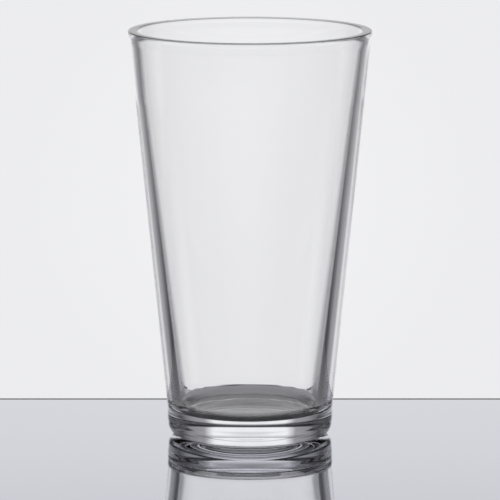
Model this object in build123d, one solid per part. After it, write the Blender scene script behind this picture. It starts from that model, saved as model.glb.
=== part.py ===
"""Conical pint glass: one pressed piece of clear soda-lime glass, in millimetres.

The origin is the centre of the foot, on the plane that the glass stands on.
+Z points up, out of the mouth.
"""

import os

from build123d import *

# Overall size
HEIGHT = 149.8
RIM_RADIUS = 44.45

# Underside: a shallow hollow inside the ring that the glass stands on
HOLLOW_HEIGHT = 2.85
HOLLOW_CROWN_ROUND = 170.0
HOLLOW_EDGE_RADIUS = 18.7
HOLLOW_EDGE_HEIGHT = 1.91
HOLLOW_EDGE_ROUND = 1.0
RING_INNER_RADIUS = 21.17
RING_INNER_ROUND = 2.5

# Outer wall, from the foot to the lip
FOOT_RADIUS = 29.78
FOOT_ROUND = 4.3
HEEL_RADIUS = 30.49
HEEL_HEIGHT = 5.95
HEEL_ROUND = 10.0
BAND_RADIUS = 30.54
BAND_HEIGHT = 11.1
BAND_ROUND = 30.0
BEAD_DEPTH = 4.0
BEAD_SWELL = 0.1
BEAD_ROUND = 12.0
BEAD_CROWN_DEPTH = 1.9
BEAD_CROWN_ROUND = 3.0

# Lip, inner wall and floor
LIP_THICKNESS = 3.29
LIP_ROUND = 0.45
FLARE_DEPTH = 25.2
FLARE_WALL = 3.27
FLARE_ROUND = 62.0
TAPER_HEIGHT = 12.3
TAPER_WALL = 5.42
TAPER_ROUND = 5.1
FLOOR_EDGE_RADIUS = 23.27
FLOOR_EDGE_HEIGHT = 9.62
FLOOR_EDGE_ROUND = 1.0
FLOOR_HEIGHT = 8.27
FLOOR_ROUND = 180.0

# Share of the radius at which the floor and the hollow turn from level to sloping
BOWL_BEND = 0.5


def outer_wall_radius(height):
    """Radius of the straight outer cone at a height above the band."""
    top_radius = RIM_RADIUS - BEAD_SWELL
    slope = (top_radius - BAND_RADIUS) / (HEIGHT - BAND_HEIGHT)
    return BAND_RADIUS + slope * (height - BAND_HEIGHT)


def glass_outline():
    """Half section of the glass, as r and z, closed along the axis."""
    bead_height = HEIGHT - BEAD_DEPTH
    crown_height = HEIGHT - BEAD_CROWN_DEPTH
    flare_height = HEIGHT - FLARE_DEPTH
    corners = [
        (0, HOLLOW_HEIGHT),
        (HOLLOW_EDGE_RADIUS * BOWL_BEND, HOLLOW_HEIGHT),
        (HOLLOW_EDGE_RADIUS, HOLLOW_EDGE_HEIGHT),
        (RING_INNER_RADIUS, 0),
        (FOOT_RADIUS, 0),
        (HEEL_RADIUS, HEEL_HEIGHT),
        (BAND_RADIUS, BAND_HEIGHT),
        (outer_wall_radius(bead_height), bead_height),
        (RIM_RADIUS, crown_height),
        (RIM_RADIUS, HEIGHT),
        (RIM_RADIUS - LIP_THICKNESS, HEIGHT),
        (outer_wall_radius(flare_height) - FLARE_WALL, flare_height),
        (outer_wall_radius(TAPER_HEIGHT) - TAPER_WALL, TAPER_HEIGHT),
        (FLOOR_EDGE_RADIUS, FLOOR_EDGE_HEIGHT),
        (FLOOR_EDGE_RADIUS * BOWL_BEND, FLOOR_HEIGHT),
        (0, FLOOR_HEIGHT),
    ]
    rounds = [
        HOLLOW_CROWN_ROUND,
        HOLLOW_EDGE_ROUND,
        RING_INNER_ROUND,
        FOOT_ROUND,
        HEEL_ROUND,
        BAND_ROUND,
        BEAD_ROUND,
        BEAD_CROWN_ROUND,
        LIP_ROUND,
        LIP_ROUND,
        FLARE_ROUND,
        TAPER_ROUND,
        FLOOR_EDGE_ROUND,
        FLOOR_ROUND,
    ]
    skin = FilletPolyline(*corners, radius=rounds)
    axis = Line((0, FLOOR_HEIGHT), (0, HOLLOW_HEIGHT))
    return skin + axis


def glass_body():
    """The whole glass: the half section turned once about the axis."""
    section = make_face(Plane.XZ * glass_outline())
    return revolve(section, Axis.Z)


def main():
    os.makedirs("parts", exist_ok=True)
    export_step(glass_body(), "parts/glass_body.step")


main()
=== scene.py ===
"""Conical pint glass: the looks of the one glass piece, in metres, in the frame of the CAD part."""

import math

import bmesh
import bpy
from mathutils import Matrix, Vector


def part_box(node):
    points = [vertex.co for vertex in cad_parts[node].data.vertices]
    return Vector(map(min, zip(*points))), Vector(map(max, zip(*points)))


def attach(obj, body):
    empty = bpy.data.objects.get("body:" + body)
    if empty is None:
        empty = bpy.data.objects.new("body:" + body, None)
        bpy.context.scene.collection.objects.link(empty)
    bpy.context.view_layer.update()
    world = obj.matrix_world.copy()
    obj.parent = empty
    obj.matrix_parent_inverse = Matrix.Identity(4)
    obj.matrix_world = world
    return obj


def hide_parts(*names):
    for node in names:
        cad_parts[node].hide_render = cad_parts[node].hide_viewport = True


MM = 0.001

# Shape of the glass, in millimetres, as the CAD part has it
HOLLOW_HEIGHT = 2.85
HOLLOW_CROWN_ROUND = 170.0
HOLLOW_EDGE_RADIUS = 18.7
HOLLOW_EDGE_HEIGHT = 1.91
HOLLOW_EDGE_ROUND = 1.0
RING_INNER_RADIUS = 21.17
RING_INNER_ROUND = 2.5
FOOT_RADIUS = 29.78
FOOT_ROUND = 4.3
HEEL_RADIUS = 30.49
HEEL_HEIGHT = 5.95
HEEL_ROUND = 10.0
BAND_RADIUS = 30.54
BAND_HEIGHT = 11.1
BAND_ROUND = 30.0
BEAD_DEPTH = 4.0
BEAD_SWELL = 0.1
BEAD_ROUND = 12.0
BEAD_CROWN_DEPTH = 1.9
BEAD_CROWN_ROUND = 3.0
LIP_THICKNESS = 3.29
LIP_ROUND = 0.45
FLARE_DEPTH = 25.2
FLARE_WALL = 3.27
FLARE_ROUND = 62.0
TAPER_HEIGHT = 12.3
TAPER_WALL = 5.42
TAPER_ROUND = 5.1
FLOOR_EDGE_RADIUS = 23.27
FLOOR_EDGE_HEIGHT = 9.62
FLOOR_EDGE_ROUND = 1.0
FLOOR_HEIGHT = 8.27
FLOOR_ROUND = 180.0
BOWL_BEND = 0.5

# Detail of the mesh: steps round the axis, the longest step on a straight stretch, the step on a round
# (a length in millimetres or a turn in radians, whichever is longer), and the fewest steps on a round
SEGMENTS = 360
STRAIGHT_STEP = 2.4
ARC_STEP = 0.25
TURN_STEP = 0.014
LEAST_ARC_STEPS = 4

# The cavity is a little off the axis: how far, and the depths below the lip where the shift starts and is full
CAVITY_SHIFT = -0.25
SHIFT_FROM = 3.0
SHIFT_TO = 30.0

# Slow uneven wave of the underside: its size, the radius where it starts, the height where it ends,
# and its parts, each as waves round the foot, share and phase
FOOT_SWAY = 0.12
SWAY_FROM_RADIUS = 8.0
SWAY_TOP = 6.0
SWAY_PARTS = ((3, 0.45, 0.7), (7, 0.35, 2.1), (16, 0.3, 4.0))

# Fine ripples low on the inner wall: the heights where they start, are strongest and end, how far inside
# the edge of the floor they reach, and their pitch and height
RIPPLE_FROM = 8.0
RIPPLE_FULL = 14.0
RIPPLE_TO = 48.0
RIPPLE_REACH = 2.0
RIPPLE_PITCH = 1.3
RIPPLE_HEIGHT = 0.002
RIPPLE_DISTORTION = 3
RIPPLE_DETAIL = 2
RIPPLE_DETAIL_SCALE = 0.4
WAVE_TEXTURE_TURN = 20  # radians that Blender's wave texture turns per unit of length, at a scale of 1

# Broad, very shallow waves over the whole skin
WAVE_HEIGHT = 0.004
WAVE_SCALE = 90
WAVE_DETAIL = 1

# Glass: refraction, and the faint grey that thick glass takes on
GLASS_IOR = 1.52
GLASS_TINT = (0.86, 0.88, 0.92)
GLASS_TINT_DENSITY = 3

# Table top, in metres: half its width, its front and back, the far side of its darker back edge, and its height
TABLE_HALF_WIDTH = 1.0
TABLE_FRONT = -2.0
TABLE_BACK = 0.0587
TABLE_EDGE_BACK = 0.061
TABLE_HEIGHT = -0.00005

# Surface of the table: a polished sheet over a plain painted body that glows faintly
POLISH_COLOUR = (0.655, 0.655, 0.705)
POLISH_SMOOTHEST = 0.015
POLISH_ROUGHEST = 0.03
MOTTLE_SCALE = 30
MOTTLE_DETAIL = 4
PAINT_COLOUR = (0.9, 0.9, 0.92)
PAINT_ROUGHNESS = 0.8
FLOOR_LIGHT = 0.14
EDGE_COLOUR = (0.25, 0.25, 0.27)
EDGE_ROUGHNESS = 0.4

# Share of polish, by how slanting the view of the table is: least when seen from above
GLOSS_FROM = 0.58
GLOSS_TO = 0.76
GLOSS_LEAST = 0.1

# Painted shade on the paint and its glow under the foot, a dark patch that stands in for the glass's shadow: its
# radius and soft edge in millimetres, and the share of paint left in it
PAINTED_SHADE_RADIUS = 31
PAINTED_SHADE_FADE = 9
PAINTED_SHADE_SHARE = 0.12

# Studio light, by direction in degrees. Elevation 0 is level and 90 straight up. Azimuth 0 is behind the glass
# and 180 the camera's side, the same to the left and right. Each light is a brightness by elevation times a
# share by azimuth, both straight between their stops.
BACK_LIGHT = (
    (-20.1, 0.02), (-16.7, 0.89), (2, 0.89), (12, 0.955), (20, 0.42), (30, 0.2), (45, 0.42), (58, 0.04),
)
BACK_SPREAD = (
    (0, 1), (5, 1), (10, 1.06), (18, 1.06), (24, 0.38), (36, 0.28), (48, 0.02), (60, 0),
)
FRONT_LIGHT = ((-90, 0.02), (0, 0.84), (12, 0.9), (25, 0.42), (34, 0.12), (58, 0.04))
FRONT_SPREAD = ((90, 0), (130, 0.75), (150, 1))
SIDE_LIGHT = ((-30, 0.02), (-12, 0.8), (-3, 0.8), (4, 0.4), (16, 0.4), (24, 0.2), (34, 0.03))
SIDE_SPREAD = ((45, 0), (75, 1), (100, 1), (140, 0))

# Least light by elevation, at every azimuth, and the dim top that takes over between two elevations
FILL_LIGHT = ((-60, 0.6), (-27, 0.45), (-19, 0.03), (12, 0.02), (22, 0.06), (70, 0.06))
TOP_LIGHT = 0.06
TOP_FROM = 66
TOP_TO = 76

# Soft bright spot behind the glass: its elevation, its reach in degrees, and how much brighter it is
GLOW_HEIGHT = 8.9
GLOW_REACH = 2.6
GLOW_SHARE = 0.05

# Colour of the dimmest and of the brightest light
SHADE_TINT = (0.975, 0.965, 1.06)
LIGHT_TINT = (0.998, 1.0, 1.016)

# Camera: millimetres for the lens and sensor, metres for the place, degrees for the downward pitch
CAMERA_LENS = 279.4
CAMERA_SENSOR = 36
CAMERA_PLACE = (0, -1.4056, 0.309)
CAMERA_PITCH = 9.71
CAMERA_CLIP_END = 100

# Bounces that light needs to get through the base of the glass
GLASS_BOUNCES = 24
GLOSSY_BOUNCES = 12


def arc_corner(before, corner, after, radius):
    """Points of the round of the given radius that cuts a corner."""
    a = (before - corner).normalized()
    b = (after - corner).normalized()
    half = a.angle(b) / 2
    reach = radius / math.tan(half)
    centre = corner + (a + b).normalized() * (radius / math.sin(half))
    start = corner + a * reach - centre
    turn = math.pi - 2 * half
    side = 1 if a.x * b.y - a.y * b.x < 0 else -1
    step = max(TURN_STEP, ARC_STEP / radius)
    count = max(LEAST_ARC_STEPS, math.ceil(turn / step))
    points = []
    for i in range(count + 1):
        t = side * turn * i / count
        c, s = math.cos(t), math.sin(t)
        points.append(centre + Vector((c * start.x - s * start.y, s * start.x + c * start.y)))
    return points


def divide(points):
    """Adds points along the long straight stretches."""
    out = [points[0]]
    for p, q in zip(points, points[1:]):
        count = max(1, math.ceil((q - p).length / STRAIGHT_STEP))
        out += [p.lerp(q, i / count) for i in range(1, count + 1)]
    return out


def outer_wall_radius(height, top, rim):
    """Radius of the straight outer cone at a height above the band."""
    slope = (rim - BEAD_SWELL - BAND_RADIUS) / (top - BAND_HEIGHT)
    return BAND_RADIUS + slope * (height - BAND_HEIGHT)


def glass_outline(top, rim):
    """Half section of the glass in millimetres, from the middle of the underside to the middle of the floor."""
    bead = top - BEAD_DEPTH
    flare = top - FLARE_DEPTH
    corners = [
        (0, HOLLOW_HEIGHT, 0),
        (HOLLOW_EDGE_RADIUS * BOWL_BEND, HOLLOW_HEIGHT, HOLLOW_CROWN_ROUND),
        (HOLLOW_EDGE_RADIUS, HOLLOW_EDGE_HEIGHT, HOLLOW_EDGE_ROUND),
        (RING_INNER_RADIUS, 0, RING_INNER_ROUND),
        (FOOT_RADIUS, 0, FOOT_ROUND),
        (HEEL_RADIUS, HEEL_HEIGHT, HEEL_ROUND),
        (BAND_RADIUS, BAND_HEIGHT, BAND_ROUND),
        (outer_wall_radius(bead, top, rim), bead, BEAD_ROUND),
        (rim, top - BEAD_CROWN_DEPTH, BEAD_CROWN_ROUND),
        (rim, top, LIP_ROUND),
        (rim - LIP_THICKNESS, top, LIP_ROUND),
        (outer_wall_radius(flare, top, rim) - FLARE_WALL, flare, FLARE_ROUND),
        (outer_wall_radius(TAPER_HEIGHT, top, rim) - TAPER_WALL, TAPER_HEIGHT, TAPER_ROUND),
        (FLOOR_EDGE_RADIUS, FLOOR_EDGE_HEIGHT, FLOOR_EDGE_ROUND),
        (FLOOR_EDGE_RADIUS * BOWL_BEND, FLOOR_HEIGHT, FLOOR_ROUND),
        (0, FLOOR_HEIGHT, 0),
    ]
    points = [Vector(corners[0][:2])]
    for before, here, after in zip(corners, corners[1:], corners[2:]):
        points += arc_corner(Vector(before[:2]), Vector(here[:2]), Vector(after[:2]), here[2])
    points.append(Vector(corners[-1][:2]))
    return divide(points)


def smooth(value, low, high):
    """Goes smoothly from 0 to 1 as the value goes from low to high."""
    t = min(1.0, max(0.0, (value - low) / (high - low)))
    return t * t * (3 - 2 * t)


def sway(angle):
    """The uneven wave round the foot, between about -1 and 1."""
    return sum(share * math.sin(waves * angle + phase) for waves, share, phase in SWAY_PARTS)


def foot_share(point):
    """How much of the foot's wave a point of the outer skin takes: all of it near the bearing ring."""
    if point.y >= SWAY_TOP:
        return 0.0
    within = smooth(point.x, SWAY_FROM_RADIUS, HOLLOW_EDGE_RADIUS)
    return within * (1 - smooth(point.x, RING_INNER_RADIUS, FOOT_RADIUS - FOOT_ROUND))


def ripple_share(point):
    """How much of the fine ripples a point of the inner skin takes."""
    if point.x <= FLOOR_EDGE_RADIUS - RIPPLE_REACH:
        return 0.0
    return smooth(point.y, RIPPLE_FROM, RIPPLE_FULL) * (1 - smooth(point.y, RIPPLE_FULL, RIPPLE_TO))


def turn_glass(name, outline, top):
    """The closed glass skin, turned from the outline about the axis, with the marks of pressing."""
    bm = bmesh.new()
    crest = max(range(len(outline)), key=lambda k: (outline[k].y, -outline[k].x))
    rings = []
    ripple = []
    for k, point in enumerate(outline[1:-1], 1):
        inside = k > crest
        shift = CAVITY_SHIFT * smooth(top - point.y, SHIFT_FROM, SHIFT_TO) if inside else 0.0
        under = 0.0 if inside else foot_share(point)
        ring = []
        for i in range(SEGMENTS):
            a = math.tau * i / SEGMENTS
            r = point.x + under * FOOT_SWAY * sway(a)
            ring.append(bm.verts.new(((r * math.cos(a) + shift) * MM, r * math.sin(a) * MM, point.y * MM)))
        rings.append(ring)
        ripple += [ripple_share(point) if inside else 0.0] * SEGMENTS
    foot = bm.verts.new((0, 0, outline[0].y * MM))
    floor = bm.verts.new((CAVITY_SHIFT * MM, 0, outline[-1].y * MM))
    for i in range(SEGMENTS):
        j = (i + 1) % SEGMENTS
        bm.faces.new((foot, rings[0][j], rings[0][i]))
        bm.faces.new((floor, rings[-1][i], rings[-1][j]))
        for low, high in zip(rings, rings[1:]):
            bm.faces.new((low[i], low[j], high[j], high[i]))
    for face in bm.faces:
        face.smooth = True
    mesh = bpy.data.meshes.new(name)
    bm.to_mesh(mesh)
    bm.free()
    attribute = mesh.attributes.new("ripple", "FLOAT", "POINT")
    attribute.data.foreach_set("value", ripple + [0.0, 0.0])
    piece = bpy.data.objects.new(name, mesh)
    bpy.context.collection.objects.link(piece)
    return piece


def plane(name, x0, x1, y0, y1, z, material):
    """Level rectangle of the stage, which is not part of the object."""
    mesh = bpy.data.meshes.new(name)
    mesh.from_pydata([(x0, y0, z), (x1, y0, z), (x1, y1, z), (x0, y1, z)], [], [(0, 1, 2, 3)])
    mesh.materials.append(material)
    piece = bpy.data.objects.new(name, mesh)
    bpy.context.collection.objects.link(piece)
    return piece


def new_material(name):
    """An empty procedural material, with its node tree."""
    material = bpy.data.materials.new(name)
    material.use_nodes = True
    return material, material.node_tree


def set_inputs(tree, node, inputs):
    """Links each input that is given another node's output, and sets the others."""
    for key, value in inputs.items():
        if isinstance(value, bpy.types.NodeSocket):
            tree.links.new(value, node.inputs[key])
        else:
            node.inputs[key].default_value = value


def add_node(tree, kind, inputs, **settings):
    """A new node with its settings and its inputs."""
    node = tree.nodes.new(kind)
    for key, value in settings.items():
        setattr(node, key, value)
    set_inputs(tree, node, inputs)
    return node


def map_range(tree, value, inputs, interpolation="LINEAR"):
    """The value taken from one range, by default 0 to 1, to another, and kept inside it."""
    inputs = {"Value": value, **inputs}
    return add_node(tree, "ShaderNodeMapRange", inputs, interpolation_type=interpolation).outputs[0]


def mix_colours(tree, factor, first, second):
    """The colour that goes from first to second as the factor goes from 0 to 1."""
    node = add_node(tree, "ShaderNodeMix", {"Factor": factor}, data_type="RGBA")
    ends = [socket for socket in node.inputs if socket.type == "RGBA"]
    ends[0].default_value = (*first, 1)
    ends[1].default_value = (*second, 1)
    return next(socket for socket in node.outputs if socket.type == "RGBA")


def glass_material():
    """Clear glass with a faint tint, shallow waves all over and fine ripples low on the inner wall."""
    material, tree = new_material("clear_glass")
    place = tree.nodes.new("ShaderNodeTexCoord").outputs["Object"]
    bands = add_node(tree, "ShaderNodeTexWave", {
        "Vector": place,
        "Scale": math.tau / WAVE_TEXTURE_TURN / (RIPPLE_PITCH * MM),
        "Distortion": RIPPLE_DISTORTION,
        "Detail": RIPPLE_DETAIL,
        "Detail Scale": RIPPLE_DETAIL_SCALE,
    }, wave_type="BANDS", bands_direction="Z")
    amount = add_node(tree, "ShaderNodeAttribute", {}, attribute_name="ripple")
    ripples = add_node(tree, "ShaderNodeMath", {
        0: bands.outputs["Fac"],
        1: amount.outputs["Fac"],
    }, operation="MULTIPLY")
    ripple_bump = add_node(tree, "ShaderNodeBump", {
        "Distance": RIPPLE_HEIGHT * MM,
        "Height": ripples.outputs[0],
    })
    waves = add_node(tree, "ShaderNodeTexNoise", {
        "Vector": place,
        "Scale": WAVE_SCALE,
        "Detail": WAVE_DETAIL,
    })
    wave_bump = add_node(tree, "ShaderNodeBump", {
        "Distance": WAVE_HEIGHT * MM,
        "Height": waves.outputs["Fac"],
        "Normal": ripple_bump.outputs[0],
    })
    set_inputs(tree, tree.nodes["Principled BSDF"], {
        "Base Color": (1, 1, 1, 1),
        "Transmission Weight": 1,
        "IOR": GLASS_IOR,
        "Roughness": 0,
        "Normal": wave_bump.outputs[0],
    })
    tint = add_node(tree, "ShaderNodeVolumeAbsorption", {
        "Color": (*GLASS_TINT, 1),
        "Density": GLASS_TINT_DENSITY,
    })
    set_inputs(tree, tree.nodes["Material Output"], {"Volume": tint.outputs[0]})
    return material


def floor_material():
    """Glossy sheet: nearly a mirror at a low angle, mostly plain paint from above, with painted shade under the
    foot.
    """
    material, tree = new_material("pale_floor")
    place = tree.nodes.new("ShaderNodeTexCoord").outputs["Object"]
    mottle = add_node(tree, "ShaderNodeTexNoise", {
        "Vector": place,
        "Scale": MOTTLE_SCALE,
        "Detail": MOTTLE_DETAIL,
    })
    polish = tree.nodes["Principled BSDF"]
    set_inputs(tree, polish, {
        "Base Color": (*POLISH_COLOUR, 1),
        "Metallic": 1,
        "Roughness": map_range(tree, mottle.outputs["Fac"], {
            "To Min": POLISH_SMOOTHEST,
            "To Max": POLISH_ROUGHEST,
        }),
    })
    distance = add_node(tree, "ShaderNodeVectorMath", {0: place}, operation="LENGTH")
    # Painted shade: inside a disc under the foot, the paint colour and its glow fade to a small share
    outside_painted_shade = map_range(tree, distance.outputs["Value"], {
        "From Min": PAINTED_SHADE_RADIUS * MM,
        "From Max": (PAINTED_SHADE_RADIUS + PAINTED_SHADE_FADE) * MM,
        "To Min": PAINTED_SHADE_SHARE,
    })
    painted = mix_colours(tree, outside_painted_shade, (0, 0, 0), PAINT_COLOUR)
    paint = add_node(tree, "ShaderNodeBsdfPrincipled", {
        "Base Color": painted,
        "Roughness": PAINT_ROUGHNESS,
        "Emission Color": painted,
        "Emission Strength": FLOOR_LIGHT,
    })
    slant = add_node(tree, "ShaderNodeLayerWeight", {"Blend": 0.5})
    share = map_range(tree, slant.outputs["Facing"], {
        "From Min": GLOSS_FROM,
        "From Max": GLOSS_TO,
        "To Min": GLOSS_LEAST,
    }, "SMOOTHSTEP")
    both = add_node(tree, "ShaderNodeMixShader", {
        0: share,
        1: paint.outputs[0],
        2: polish.outputs[0],
    })
    set_inputs(tree, tree.nodes["Material Output"], {"Surface": both.outputs[0]})
    return material


def edge_material():
    """The darker back edge of the table."""
    material, tree = new_material("table_edge")
    set_inputs(tree, tree.nodes["Principled BSDF"], {
        "Base Color": (*EDGE_COLOUR, 1),
        "Roughness": EDGE_ROUGHNESS,
    })
    return material


def light_studio():
    """Soft studio light, all set by direction: panels behind the glass, at its sides and on the camera's side."""
    studio = bpy.data.worlds.new("studio")
    bpy.context.scene.world = studio
    studio.use_nodes = True
    tree = studio.node_tree

    def calculate(operation, *values):
        inputs = dict(enumerate(values))
        return add_node(tree, "ShaderNodeMath", inputs, operation=operation).outputs[0]

    def by_angle(angle, stops):
        """Brightness at each angle from -180 to 180 degrees, straight between the stops."""
        place = calculate("MULTIPLY_ADD", angle, 1 / 360, 0.5)
        node = add_node(tree, "ShaderNodeValToRGB", {0: place})
        elements = node.color_ramp.elements
        for index, (degrees, level) in enumerate(stops):
            position = degrees / 360 + 0.5
            stop = elements[index] if index < 2 else elements.new(position)
            stop.position = position
            stop.color = (level, level, level, 1)
        return node.outputs["Color"]

    direction = tree.nodes.new("ShaderNodeTexCoord").outputs["Generated"]
    split = add_node(tree, "ShaderNodeSeparateXYZ", {0: direction})
    elevation = calculate("DEGREES", calculate("ARCSINE", split.outputs["Z"]))
    beside = calculate("ABSOLUTE", split.outputs["X"])
    azimuth = calculate("DEGREES", calculate("ARCTAN2", beside, split.outputs["Y"]))

    off_height = calculate("SUBTRACT", calculate("ABSOLUTE", elevation), GLOW_HEIGHT)
    height_squared = calculate("MULTIPLY", off_height, off_height)
    azimuth_squared = calculate("MULTIPLY", azimuth, azimuth)
    off_centre = calculate("ADD", height_squared, azimuth_squared)
    halo = calculate("EXPONENT", calculate("MULTIPLY", off_centre, -1 / GLOW_REACH ** 2))
    glow = calculate("MULTIPLY_ADD", halo, GLOW_SHARE, 1 - GLOW_SHARE)

    level = 0
    lights = ((BACK_LIGHT, BACK_SPREAD), (FRONT_LIGHT, FRONT_SPREAD), (SIDE_LIGHT, SIDE_SPREAD))
    for light, spread in lights:
        part = calculate("MULTIPLY", by_angle(elevation, light), by_angle(azimuth, spread))
        level = calculate("ADD", level, part)
    level = calculate("MAXIMUM", calculate("MULTIPLY", level, glow), by_angle(elevation, FILL_LIGHT))
    above = map_range(tree, elevation, {"From Min": TOP_FROM, "From Max": TOP_TO}, "SMOOTHSTEP")
    level = calculate("MULTIPLY_ADD", calculate("SUBTRACT", TOP_LIGHT, level), above, level)
    set_inputs(tree, tree.nodes["Background"], {
        "Color": mix_colours(tree, level, SHADE_TINT, LIGHT_TINT),
        "Strength": level,
    })


def place_camera():
    data = bpy.data.cameras.new("camera")
    data.lens = CAMERA_LENS
    data.sensor_width = CAMERA_SENSOR
    data.clip_end = CAMERA_CLIP_END
    camera = bpy.data.objects.new("camera", data)
    camera.location = CAMERA_PLACE
    camera.rotation_euler = (math.radians(90 - CAMERA_PITCH), 0, 0)
    bpy.context.collection.objects.link(camera)
    bpy.context.scene.camera = camera


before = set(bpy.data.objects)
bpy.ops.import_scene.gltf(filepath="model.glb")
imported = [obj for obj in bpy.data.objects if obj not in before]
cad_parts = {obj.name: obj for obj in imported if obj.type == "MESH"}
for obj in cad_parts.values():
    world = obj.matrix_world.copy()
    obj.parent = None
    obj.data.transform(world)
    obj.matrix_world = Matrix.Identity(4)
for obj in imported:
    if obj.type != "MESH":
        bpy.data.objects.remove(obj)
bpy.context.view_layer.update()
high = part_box("glass_body")[1]
top = high[2] / MM
outline = glass_outline(top, high[0] / MM)
tumbler = turn_glass("tumbler_glass", outline, top)
tumbler.data.materials.append(glass_material())
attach(tumbler, "root")
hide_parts("glass_body")

sides = (-TABLE_HALF_WIDTH, TABLE_HALF_WIDTH)
plane("table_top", *sides, TABLE_FRONT, TABLE_BACK, TABLE_HEIGHT, floor_material())
plane("table_edge", *sides, TABLE_BACK, TABLE_EDGE_BACK, TABLE_HEIGHT, edge_material())
light_studio()
place_camera()
scene = bpy.context.scene
scene.view_settings.view_transform = "Standard"
scene.cycles.max_bounces = GLASS_BOUNCES
scene.cycles.transmission_bounces = GLASS_BOUNCES
scene.cycles.glossy_bounces = GLOSSY_BOUNCES
